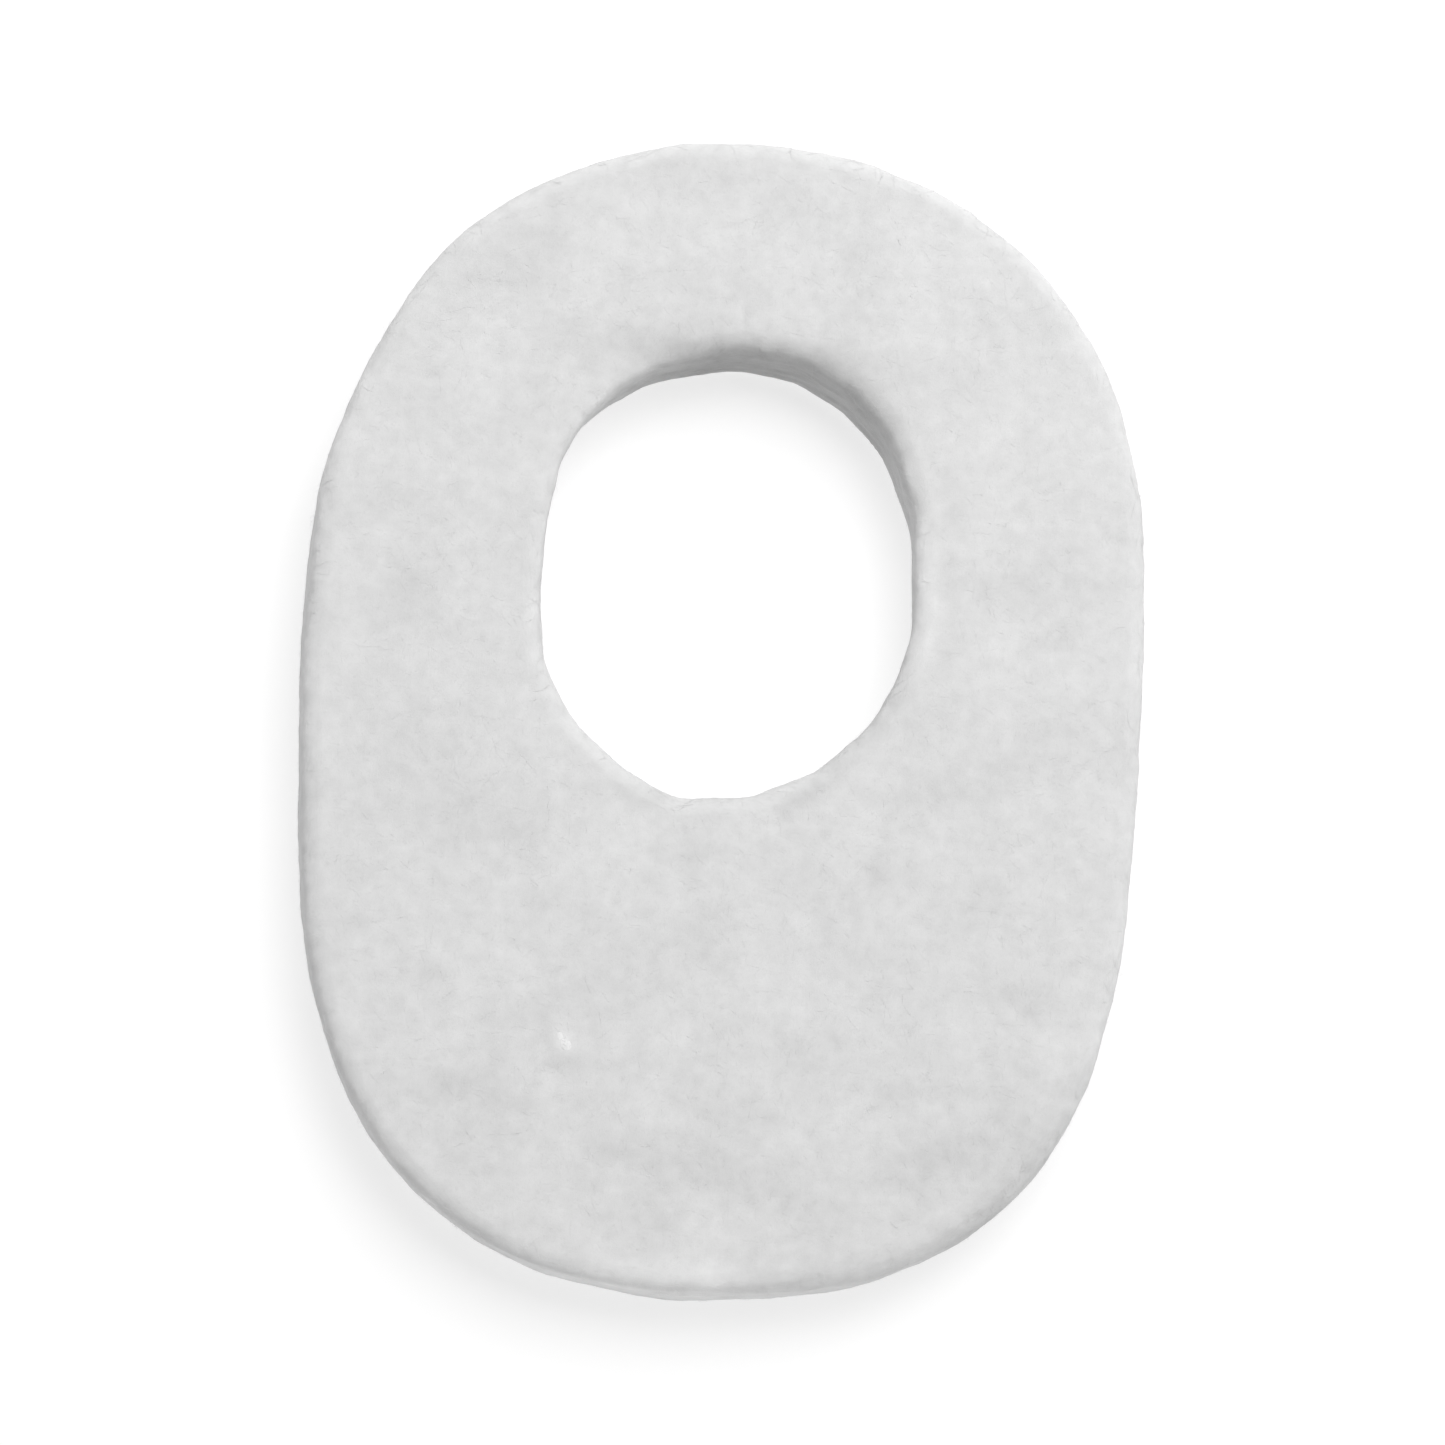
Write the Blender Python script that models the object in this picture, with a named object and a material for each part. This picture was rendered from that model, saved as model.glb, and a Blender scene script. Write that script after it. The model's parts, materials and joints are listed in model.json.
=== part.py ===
"""Felt foot pad: one slab of thick white felt, an oval blank cut by hand, with an oval hole near one end.

The pad lies on its skin face. +Y runs along the pad towards the hole, +Z is up out of the shoe face,
and the origin is on the skin face, in the middle of the pad's length and width. Lengths are in metres.
"""

import math
from typing import NamedTuple

import bmesh
import bpy

# Sizes of the blank
PAD_LENGTH = 0.0600
PAD_WIDTH = 0.0435
FELT_THICKNESS = 0.0050

# Sizes and place of the hole
HOLE_LENGTH = 0.0235
HOLE_WIDTH = 0.0199
BAND_ABOVE_HOLE = 0.0113  # felt between the hole and the pad's +Y end
HOLE_SIDE_SHIFT = 0.00025  # how far the middle of the hole lies to the +X side

# How far the rims of both cuts are rounded over
SHOE_RIM_ROUNDING = 0.0009
SKIN_RIM_ROUNDING = 0.0004
LEAST_STRAIGHT_WALL = 0.3  # share of the thickness that both roundings leave between them

# How the snips of the scissors run into each other, and the fineness of the mesh
CORNER_EASING_DEG = 4.0
EASING_SAMPLES = 5
STATIONS_ROUND = 144
ROUNDING_STEPS = 3
SHARP_EDGE_DEG = 40.0

FELT_COLOUR = (0.72, 0.72, 0.72, 1.0)
FELT_ROUGHNESS = 0.95


class Snip(NamedTuple):
    """Where one straight snip of a cut ends and the next begins.

    turn_deg is the place round the cut's middle, anticlockwise from +X.
    fullness is the cut's reach there on the skin face, as a share of a plain ellipse of the cut's size.
    lean is how much further back in the felt the cut is on the shoe face, as a share of the thickness.
    Below nought, the shoe face hangs over.
    """

    turn_deg: float
    fullness: float
    lean: float = 0.0


class SoftRim(NamedTuple):
    """A stretch of rim that is rounded over further: its middle, its half width, and the added share."""

    turn_deg: float
    half_width_deg: float
    added: float


BLANK_SNIPS = (
    Snip(4, 0.998),
    Snip(20, 1.066),
    Snip(25, 1.073),
    Snip(28, 1.091),
    Snip(36, 1.104),
    Snip(46, 1.094),
    Snip(59, 1.063),
    Snip(73, 1.025),
    Snip(86, 1.003),
    Snip(97, 1.001),
    Snip(107, 1.006),
    Snip(118, 1.024),
    Snip(128, 1.042),
    Snip(137, 1.043),
    Snip(148, 1.037),
    Snip(158, 1.034),
    Snip(165, 1.014),
    Snip(175, 1.001),
    Snip(197, 1.037),
    Snip(206, 1.070, -0.04),
    Snip(217, 1.095, -0.08),
    Snip(226, 1.093, -0.09),
    Snip(235, 1.074, -0.09),
    Snip(246, 1.046, -0.06),
    Snip(262, 1.011),
    Snip(277, 1.003),
    Snip(288, 1.027, -0.03),
    Snip(300, 1.055, -0.05),
    Snip(309, 1.074, -0.03),
    Snip(316, 1.079),
    Snip(324, 1.068),
    Snip(335, 1.029),
    Snip(351, 0.987),
)

HOLE_SNIPS = (
    Snip(2, 1.005, -0.14),
    Snip(16, 1.036, -0.10),
    Snip(37, 1.049, -0.05),
    Snip(51, 1.038, -0.04),
    Snip(68, 1.020, -0.03),
    Snip(87, 0.999, -0.03),
    Snip(112, 1.002, -0.05),
    Snip(126, 1.026, -0.08),
    Snip(141, 1.064, -0.11),
    Snip(153, 1.044, -0.09),
    Snip(170, 0.999, -0.05),
    Snip(186, 1.006, -0.03),
    Snip(203, 1.051),
    Snip(219, 1.049),
    Snip(236, 1.032),
    Snip(254, 1.036),
    Snip(276, 0.985),
    Snip(297, 0.970),
    Snip(319, 0.992, -0.04),
    Snip(333, 1.012, -0.10),
    Snip(347, 1.032, -0.14),
)

BLANK_SOFT_RIMS = (SoftRim(305, 40, 0.9),)
HOLE_SOFT_RIMS = (SoftRim(55, 60, 0.25),)


class Station(NamedTuple):
    """One place on a finished cut: the cut point on the skin face, the way out of the felt, and the rest.

    rounding is how far the shoe rim is rounded over, and lean is how much further back it lies.
    """

    x: float
    y: float
    out_x: float
    out_y: float
    rounding: float
    lean: float


def crossing_snip(snips, turn_deg):
    """The snip that crosses this turn: its two ends, its whole angle, and the angle done of it."""
    turn = turn_deg % 360
    following = next((k for k, snip in enumerate(snips) if snip.turn_deg > turn), 0)
    start, end = snips[following - 1], snips[following]
    whole = math.radians((end.turn_deg - start.turn_deg) % 360)
    done = math.radians((turn - start.turn_deg) % 360)
    return start, end, whole, done


def snipped_reach(snips, turn_deg):
    """The reach of the straight snip that crosses this turn, as a share of the plain ellipse."""
    start, end, whole, done = crossing_snip(snips, turn_deg)
    return (
        start.fullness
        * end.fullness
        * math.sin(whole)
        / (start.fullness * math.sin(done) + end.fullness * math.sin(whole - done))
    )


def snipped_lean(snips, turn_deg):
    """The lean of the cut at this turn, which changes evenly along a snip, in metres."""
    start, end, whole, done = crossing_snip(snips, turn_deg)
    return FELT_THICKNESS * (start.lean + (end.lean - start.lean) * done / whole)


def eased(value_at, snips, turn_deg):
    """A value of the cut at a turn, with the corners between snips eased by a short running mean."""
    shares = [(2 * k + 1) / EASING_SAMPLES - 1 for k in range(EASING_SAMPLES)]
    turns = [turn_deg + CORNER_EASING_DEG * share for share in shares]
    return sum(value_at(snips, turn) for turn in turns) / EASING_SAMPLES


def rim_rounding(soft_rims, turn_deg):
    """How far the shoe rim is rounded over at a turn."""
    share = 1.0
    for rim in soft_rims:
        away = abs((turn_deg - rim.turn_deg + 180) % 360 - 180)
        if away < rim.half_width_deg:
            share += rim.added * (1 + math.cos(math.pi * away / rim.half_width_deg)) / 2
    return SHOE_RIM_ROUNDING * share


def stretched(values, middle, length):
    """Values moved and scaled so that they are exactly that long, about that middle."""
    low, high = min(values), max(values)
    return [middle + ((value - low) / (high - low) - 0.5) * length for value in values]


def cut_stations(snips, soft_rims, width, length, middle, felt_inside):
    """The stations of one closed cut, exactly width by length, anticlockwise seen from above."""
    turns = [360 * k / STATIONS_ROUND for k in range(STATIONS_ROUND)]
    reach = [eased(snipped_reach, snips, turn) for turn in turns]
    xs = stretched([r * math.cos(math.radians(t)) for r, t in zip(reach, turns)], middle[0], width)
    ys = stretched([r * math.sin(math.radians(t)) for r, t in zip(reach, turns)], middle[1], length)
    side = 1 if felt_inside else -1
    stations = []
    for k, turn in enumerate(turns):
        run_x = xs[(k + 1) % STATIONS_ROUND] - xs[k - 1]
        run_y = ys[(k + 1) % STATIONS_ROUND] - ys[k - 1]
        run = math.hypot(run_x, run_y)
        out_x, out_y = side * run_y / run, -side * run_x / run
        rounding, lean = rim_rounding(soft_rims, turn), eased(snipped_lean, snips, turn)
        stations.append(Station(xs[k], ys[k], out_x, out_y, rounding, lean))
    return stations


def rim_profile(shoe_rounding):
    """(inset, height) pairs up the cut wall, from the skin face to the shoe face."""
    room = FELT_THICKNESS * (1 - LEAST_STRAIGHT_WALL)
    shoe = min(shoe_rounding, room / 2)
    skin = min(SKIN_RIM_ROUNDING, room / 2)
    quarter = [math.pi / 2 * k / ROUNDING_STEPS for k in range(ROUNDING_STEPS + 1)]
    from_skin = [(skin * (1 - math.sin(a)), skin * (1 - math.cos(a))) for a in quarter]
    to_shoe = [(shoe * (1 - math.cos(a)), FELT_THICKNESS - shoe * (1 - math.sin(a))) for a in quarter]
    return from_skin + to_shoe


def add_wall(mesh, stations):
    """Adds a cut's wall to the mesh, and gives back its lowest and highest rings of points."""
    columns = []
    for place in stations:
        column = []
        for inset, height in rim_profile(place.rounding):
            back = inset + place.lean * height / FELT_THICKNESS
            column.append(mesh.verts.new((place.x - back * place.out_x, place.y - back * place.out_y, height)))
        columns.append(column)
    for k, column in enumerate(columns):
        beside = columns[(k + 1) % len(columns)]
        for low in range(len(column) - 1):
            mesh.faces.new((column[low], beside[low], beside[low + 1], column[low + 1]))
    return [column[0] for column in columns], [column[-1] for column in columns]


def add_face_between(mesh, blank_ring, hole_ring):
    """Adds the flat face of felt between the blank's cut and the hole's."""
    for k in range(STATIONS_ROUND):
        following = (k + 1) % STATIONS_ROUND
        mesh.faces.new((blank_ring[k], blank_ring[following], hole_ring[following], hole_ring[k]))


def felt_material():
    """White wool felt, dull all over."""
    material = bpy.data.materials.new("white_felt")
    material.use_nodes = True
    shader = material.node_tree.nodes["Principled BSDF"]
    shader.inputs["Base Color"].default_value = FELT_COLOUR
    shader.inputs["Roughness"].default_value = FELT_ROUGHNESS
    shader.inputs["Metallic"].default_value = 0.0
    return material


def felt_pad():
    """The pad: the blank's wall, the hole's wall, and the skin and shoe faces between them."""
    hole_middle = (HOLE_SIDE_SHIFT, PAD_LENGTH / 2 - BAND_ABOVE_HOLE - HOLE_LENGTH / 2)
    blank = cut_stations(BLANK_SNIPS, BLANK_SOFT_RIMS, PAD_WIDTH, PAD_LENGTH, (0, 0), True)
    hole = cut_stations(HOLE_SNIPS, HOLE_SOFT_RIMS, HOLE_WIDTH, HOLE_LENGTH, hole_middle, False)
    mesh = bmesh.new()
    blank_low, blank_high = add_wall(mesh, blank)
    hole_low, hole_high = add_wall(mesh, hole)
    add_face_between(mesh, blank_low, hole_low)
    add_face_between(mesh, blank_high, hole_high)
    bmesh.ops.recalc_face_normals(mesh, faces=mesh.faces)
    data = bpy.data.meshes.new("felt_pad")
    mesh.to_mesh(data)
    mesh.free()
    data.materials.append(felt_material())
    data.shade_smooth()
    data.set_sharp_from_angle(angle=math.radians(SHARP_EDGE_DEG))
    pad = bpy.data.objects.new("felt_pad", data)
    bpy.context.scene.collection.objects.link(pad)
    return pad


def main():
    for old in list(bpy.data.objects):
        bpy.data.objects.remove(old)
    felt_pad()


main()
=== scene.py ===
"""Looks of the felt foot pad: a slab of pressed white wool felt with a cut hole, on a plain pale floor.

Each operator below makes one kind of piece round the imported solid, and the last one sets the studio.
Lengths are in metres. +Y runs along the pad towards the hole, and +Z is up out of the shoe face.
"""

import json
import math
from enum import IntEnum
from typing import NamedTuple

import bmesh
import bpy
import numpy as np
from bpy.props import FloatProperty, FloatVectorProperty, PointerProperty
from mathutils import Matrix, Vector


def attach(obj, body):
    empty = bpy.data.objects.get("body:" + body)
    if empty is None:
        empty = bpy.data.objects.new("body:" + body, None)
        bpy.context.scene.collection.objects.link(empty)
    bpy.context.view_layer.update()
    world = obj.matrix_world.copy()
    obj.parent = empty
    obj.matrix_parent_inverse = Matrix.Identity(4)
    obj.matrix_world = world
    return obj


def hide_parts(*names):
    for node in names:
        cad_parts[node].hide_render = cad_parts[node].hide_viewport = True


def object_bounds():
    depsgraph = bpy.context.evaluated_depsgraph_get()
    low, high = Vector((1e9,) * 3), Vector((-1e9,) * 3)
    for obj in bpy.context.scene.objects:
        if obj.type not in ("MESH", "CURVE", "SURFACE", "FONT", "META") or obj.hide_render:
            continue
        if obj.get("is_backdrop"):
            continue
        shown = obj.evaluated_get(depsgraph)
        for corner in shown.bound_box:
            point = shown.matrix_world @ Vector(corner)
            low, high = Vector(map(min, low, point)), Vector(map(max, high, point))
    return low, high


bl_info = {
    "name": "Felt Foot Pad",
    "version": (1, 0, 0),
    "blender": (4, 5, 0),
    "location": "View3D > Sidebar > Felt Pad",
    "description": "Makes the felt, its fibres and a plain studio round the packed foot pad",
    "category": "Object",
}

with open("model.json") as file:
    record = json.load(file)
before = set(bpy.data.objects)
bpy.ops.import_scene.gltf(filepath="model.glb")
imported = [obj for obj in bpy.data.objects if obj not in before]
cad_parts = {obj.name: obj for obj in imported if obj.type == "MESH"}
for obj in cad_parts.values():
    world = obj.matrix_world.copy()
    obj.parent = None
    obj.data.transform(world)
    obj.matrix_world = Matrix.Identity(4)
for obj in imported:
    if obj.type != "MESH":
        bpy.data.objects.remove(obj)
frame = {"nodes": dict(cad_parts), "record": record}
CAD_LOW, CAD_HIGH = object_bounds()

BODY = "root"
CAD_NODE = "felt_pad"
MM = 0.001

PAD_THICKNESS = CAD_HIGH.z - CAD_LOW.z
HOLE_LOW, HOLE_HIGH = (Vector(corner) for corner in frame["record"]["physics"]["openings"][0]["box_m"])
HOLE_MIDDLE = (HOLE_LOW + HOLE_HIGH) / 2

REGION = "felt_region"
# The spots' tone at each point, painted shade and painted light among it.
TONE = "felt_tone"
CUT_EDGE = "cut_edge"
FIBRE_MATERIAL = "white_felt_fibre"


class Region(IntEnum):
    """The parts of the felt's skin that carry different fibres."""

    SHOE_FACE = 0
    SKIN_FACE = 1
    BLANK_CUT = 2
    HOLE_CUT = 3
    RIM = 4
    NEP = 5


class Spot(NamedTuple):
    """A spot on the shoe face: a nep, a smudge, a cloud or a crease, or a patch of painted shade or painted
    light on a wall or rim. Places and sizes are in millimetres.

    turn_deg turns its long side anticlockwise from +X, tone is its added share of the felt's
    brightness, and height is how far it stands up, or is pressed in where it is below nought.
    """

    name: str
    x: float
    y: float
    half_length: float
    half_width: float
    turn_deg: float
    tone: float
    height: float


NEPS = (
    Spot("upper knot", -8.5, -17.2, 0.30, 0.22, 115, 0.03, 0.04),
    Spot("lower knot", -8.25, -17.6, 0.36, 0.28, 125, 0.03, 0.05),
)
NEP_SUNK_SHARE = 0.55  # share of a knot's half height that its middle lies under the surface
SPOTS = (
    Spot("light wool round the nep", -8.35, -17.4, 0.65, 0.38, 118, 0.17, 0.02),
    Spot("smudge under the nep", -8.5, -18.6, 1.1, 0.5, 0, -0.10, -0.04),
    Spot("long smudge", -13.9, -19.8, 2.2, 0.8, -5, -0.09, -0.04),
    Spot("end of the long smudge", -10.5, -20.6, 2.2, 0.7, 5, -0.03, 0.0),
    Spot("low band, left part", -5.0, -23.1, 3.4, 1.1, -8, -0.06, -0.04),
    Spot("low band, right part", 1.0, -24.6, 2.6, 1.2, -20, -0.065, -0.04),
    Spot("low band by the soft rim", 10.8, -23.0, 4.2, 1.3, 12, -0.08, -0.03),
    Spot("smudge along the lower right rim", 14.4, -24.6, 3.4, 1.1, 43, -0.10, -0.03),
    # Painted shade along the lower right rim, where it rolls away from the light.
    Spot("painted shade on the lower right rim", 12.2, -27.1, 4.2, 0.8, 31, -0.08, 0.0),
    Spot("smudge near the right rim", 15.4, -15.4, 2.2, 0.9, -18, -0.065, -0.03),
    Spot("smudge on the right rim", 17.4, -19.5, 1.6, 0.8, 62, -0.07, 0.0),
    Spot("dot near the right rim", 13.5, -20.7, 0.8, 1.2, 0, -0.05, -0.03),
    Spot("long smudge in the lower middle", 9.6, -20.0, 2.4, 0.8, 0, -0.045, -0.03),
    Spot("dot in the lower middle", 7.3, -15.3, 0.7, 0.7, 0, -0.05, -0.03),
    Spot("cloud right of the hole", 14.0, 6.5, 2.4, 0.9, -5, -0.045, -0.03),
    Spot("dot right of the hole", 17.3, 3.7, 1.0, 0.8, 0, -0.04, -0.03),
    Spot("dot below that", 17.7, -0.9, 1.3, 0.9, 40, -0.04, -0.03),
    Spot("cloud below the hole, right", 10.5, -4.5, 3.0, 1.4, 20, -0.03, 0.0),
    Spot("dot in the middle", 7.5, -8.6, 0.7, 0.9, 0, -0.07, -0.03),
    Spot("dot under the hole", -2.1, -8.1, 0.8, 0.7, 0, -0.045, -0.03),
    Spot("blotch in the middle", -0.9, -12.4, 1.6, 1.3, 0, -0.035, -0.02),
    Spot("dot at the lower left", -15.0, -14.2, 1.0, 0.8, 0, -0.045, -0.03),
    Spot("blotch at the left rim", -19.1, -11.6, 1.6, 0.7, -10, -0.05, -0.03),
    Spot("blotch left of the hole", -16.4, 5.5, 1.3, 1.3, 0, -0.05, -0.03),
    Spot("soft cloud at the left", -12.7, -6.5, 3.6, 2.6, -35, -0.025, 0.0),
    Spot("soft cloud, upper left", -10.0, 23.7, 3.0, 2.2, 20, -0.03, 0.0),
    Spot("soft cloud at the top", 0.4, 27.4, 2.6, 1.0, 0, -0.03, 0.0),
    Spot("bright cloud, upper right", 14.2, 23.2, 4.0, 3.0, -45, 0.02, 0.02),
    Spot("bright tuft, upper left", -12.5, 19.7, 1.5, 0.9, 0, 0.035, 0.04),
    Spot("bright tuft by the hole", -8.7, 17.4, 1.4, 0.9, 40, 0.03, 0.03),
    Spot("bright rim at the left", -18.4, 15.9, 1.0, 2.6, -15, 0.03, 0.0),
    Spot("bright speck at the top", 12.7, 26.5, 0.5, 0.4, 0, 0.06, 0.05),
    Spot("bright speck at the right", 17.3, 19.1, 0.5, 0.4, 0, 0.05, 0.05),
    # The crease is pressed in and also painted darker: painted shade in the crease.
    Spot("crease above the hole with painted shade", 0.9, 20.1, 0.9, 0.10, 92, -0.05, -0.10),
    Spot("tuft over the lower rim", -0.9, -29.5, 0.5, 0.9, 0, 0.06, 0.06),
    # Painted shade and painted light: the spots below darken or lighten the wool of the hole's walls and rims
    # and of the lower rim's wall to stand in for how the light falls there, not for any change in the wool
    # itself.
    Spot("painted shade in the hole's upper wall", 0.2, 18.4, 6.0, 1.1, -4, -0.28, 0.0),
    Spot("painted shade in the hole's upper right wall", 7.0, 15.9, 3.0, 1.2, -50, -0.17, 0.0),
    Spot("painted light in the hole's upper left wall", -7.2, 14.8, 2.0, 0.9, 50, 0.12, 0.0),
    Spot("painted light in the hole's right wall", 10.1, 6.0, 4.5, 0.7, 92, 0.12, 0.0),
    Spot("painted shade on the hole's lower right rim", 6.7, -1.8, 4.4, 0.6, 47, -0.10, 0.0),
    Spot("painted shade on the hole's lower rim", -0.5, -4.8, 4.5, 0.55, 0, -0.10, 0.0),
    Spot("painted shade on the hole's lower left rim", -5.4, -2.7, 3.2, 0.55, -40, -0.10, 0.0),
    Spot("painted light in the lower rim's wall", -4.0, -29.4, 8.0, 1.1, -3, 0.12, 0.0),
)
SPOTS_REACH_DOWN_TO = 0.1  # share of the thickness, below which the spots don't show

# How far each kind of unevenness changes the brightness of the wool, as a share of it, with the painted shade
# between the web's fibres and the painted light on the loose fibres among them
CLOUD_TONE = 0.11
TUFT_TONE = 0.105
WISP_TONE = 0.075
# painted shade between the fibres of the web
FIBRE_SHADE_TONE = 0.03
LAYER_TONE = 0.10
# painted light on the loose fibres, which offsets their own shade and their shadows
LOOSE_FIBRE_PAINTED_LIGHT = 0.05

MOTTLE_SIZES = {"Cloud Size": 4.0 * MM, "Tuft Size": 0.8 * MM}
WISP_SIZES = {"Fibre Length": 2.4 * MM, "Fibre Width": 0.22 * MM, "Bend": 0.9 * MM}
WEB_TURNS_DEG = (8, 52, 97, 141)  # the ways that the fibres of the web run
WEB_MIDDLE = 0.7  # the middle height of the web
STREAK_NARROWNESS = 2.5

WOOL_FINISH = {
    "Roughness": 0.92, "Specular IOR Level": 0.25, "Sheen Weight": 0.10, "Sheen Roughness": 0.55,
}
FLOOR_FINISH = {"Roughness": 0.9, "Specular IOR Level": 0.1, "Emission Color": (1.0, 1.0, 1.0, 1.0)}
FLOOR_CLOUD_SIZE = 0.12
FLOOR_CLOUD_TONE = 0.01

BUMP_STRENGTH = 0.3
BUMP_DISTANCE = 0.05 * MM
LAYER_BUMP = 2.6  # height of the layers in a cut, as a share of the web's

# The fine mesh of the felt, and its relief
RELIEF_SIZES = (
    "Cloud Height", "Cloud Size", "Lump Height", "Lump Size",
    "Tuft Height", "Tuft Size", "Layer Height", "Layer Thickness",
)
WELD_DISTANCE = 0.001 * MM
SMOOTHING_SHARE = 0.5
SMOOTHING_ROUNDS = 3
LAYER_FLATNESS = 0.22  # height of the bumps of a layer, as a share of their length
UNDERSIDE_SHARE = 0.5  # share of the relief that the skin face has

# How far up a face points where one region ends and the next begins, from -1 to 1
SHOE_FACE_OVER = 0.90
RIM_OVER = 0.30
SKIN_FACE_UNDER = -0.70
UNDERSIDE_UNDER = -0.3
CUT_UNDER = 0.85
CUT_BLEND = 0.5

# The shape of a loose fibre
FIBRE_SIZES = (0.45, 1.25)  # least and greatest length, as a share of the usual one
SWAY_SIZE = 0.7  # size of its bends, as a share of its length
SWAY_GAIN = 4.0  # makes up for the noise, which swings by about a quarter
LIFT_POWER = 2.0  # the greater, the fewer fibres stand high
TIP_POWER = 1.6  # how late a loose end turns up
SUNK_ENDS = 0.3  # how deep the ends lie in the felt, as a share of the thickness
FLATNESS = 0.25  # thickness one way, as a share of the other
END_THICKNESS = 0.4  # as a share of the middle's

PRESSED_NAP_SHARE = 0.6  # share of the shoe face's nap that the pressed skin face has
PRESSED_NAP_LIFT = 0.004 * MM

FLOOR_GAP = 0.01 * MM
FLOOR_SIDES = 96
LOW_PANEL_HEIGHT = 0.04
HORIZON_NARROWNESS = 6.0
SURROUND_AS_SEEN = 0.95


# Settings


SMALL_LENGTH = {"unit": "LENGTH", "precision": 5}


class FeltBodySettings(bpy.types.PropertyGroup):
    """The pressed felt itself."""

    mesh_step: FloatProperty(
        name="Mesh step", description="Side of the small squares that the felt is meshed in",
        default=0.25 * MM, min=0.1 * MM, **SMALL_LENGTH,
    )
    cloud_height: FloatProperty(
        name="Cloud height", description="Height of the slow unevenness of the faces",
        default=0.10 * MM, min=0.0, **SMALL_LENGTH,
    )
    cloud_size: FloatProperty(
        name="Cloud size", description="Distance from one rise of the faces to the next",
        default=6.0 * MM, min=0.1 * MM, **SMALL_LENGTH,
    )
    lump_height: FloatProperty(
        name="Lump height", description="Height of the small lumps of matted wool",
        default=0.07 * MM, min=0.0, **SMALL_LENGTH,
    )
    lump_size: FloatProperty(
        name="Lump size", description="Distance from one small lump to the next",
        default=1.1 * MM, min=0.1 * MM, **SMALL_LENGTH,
    )
    tuft_height: FloatProperty(
        name="Tuft height", description="Height of the tufts that the scissors left along the rims",
        default=0.10 * MM, min=0.0, **SMALL_LENGTH,
    )
    tuft_size: FloatProperty(
        name="Tuft size", description="Distance from one tuft of the rims to the next",
        default=0.8 * MM, min=0.1 * MM, **SMALL_LENGTH,
    )
    layer_height: FloatProperty(
        name="Layer height", description="How far the layers of wool stand out of the cut edges",
        default=0.12 * MM, min=0.0, **SMALL_LENGTH,
    )
    layer_thickness: FloatProperty(
        name="Layer thickness", description="Thickness of one layer of wool in the cut edges",
        default=0.7 * MM, min=0.1 * MM, **SMALL_LENGTH,
    )
    # The wool's tone runs between these two colours, for its painted shade and painted light as well as for
    # its mottle and marks.
    light_wool: FloatVectorProperty(
        name="Light wool", description="Colour of the cleanest, fluffiest wool",
        default=(0.838, 0.838, 0.838), min=0.0, max=1.0, size=3, subtype="COLOR",
    )
    dark_wool: FloatVectorProperty(
        name="Dark wool", description="Colour of the most pressed wool",
        default=(0.452, 0.452, 0.452), min=0.0, max=1.0, size=3, subtype="COLOR",
    )


class FeltFibreSettings(bpy.types.PropertyGroup):
    """The loose fibres on the felt."""

    thickness: FloatProperty(
        name="Fibre thickness", description="Thickness of one wool fibre",
        default=0.009 * MM, min=0.005 * MM, **SMALL_LENGTH,
    )
    nap_per_mm2: FloatProperty(
        name="Nap density", description="Fibres that lie on each square millimetre of the faces",
        default=3.0, min=0.0, max=10.0,
    )
    nap_length: FloatProperty(
        name="Nap length", description="Length of the fibres that lie on the faces",
        default=1.5 * MM, min=0.1 * MM, **SMALL_LENGTH,
    )
    nap_lift: FloatProperty(
        name="Nap lift", description="How far the fibres of the shoe face stand off it at most",
        default=0.006 * MM, min=0.0, **SMALL_LENGTH,
    )
    fuzz_per_mm2: FloatProperty(
        name="Fuzz density", description="Fibres that stand on each square millimetre of the cut edges",
        default=6.0, min=0.0, max=12.0,
    )
    fuzz_length: FloatProperty(
        name="Fuzz length", description="Length of the fibres on the cut edges",
        default=0.9 * MM, min=0.1 * MM, **SMALL_LENGTH,
    )
    fuzz_lift: FloatProperty(
        name="Fuzz lift", description="How far the fibres of the cut edges stand off them at most",
        default=0.16 * MM, min=0.0, **SMALL_LENGTH,
    )
    hairs_per_mm2: FloatProperty(
        name="Hair density", description="Stray hairs that stand on each square millimetre of the rims",
        default=3.0, min=0.0, max=12.0,
    )
    hair_length: FloatProperty(
        name="Hair length", description="Length of the stray hairs on the rims",
        default=1.6 * MM, min=0.1 * MM, **SMALL_LENGTH,
    )
    hair_lift: FloatProperty(
        name="Hair lift", description="How far the stray hairs stand off the rims at most",
        default=0.38 * MM, min=0.0, **SMALL_LENGTH,
    )


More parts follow.
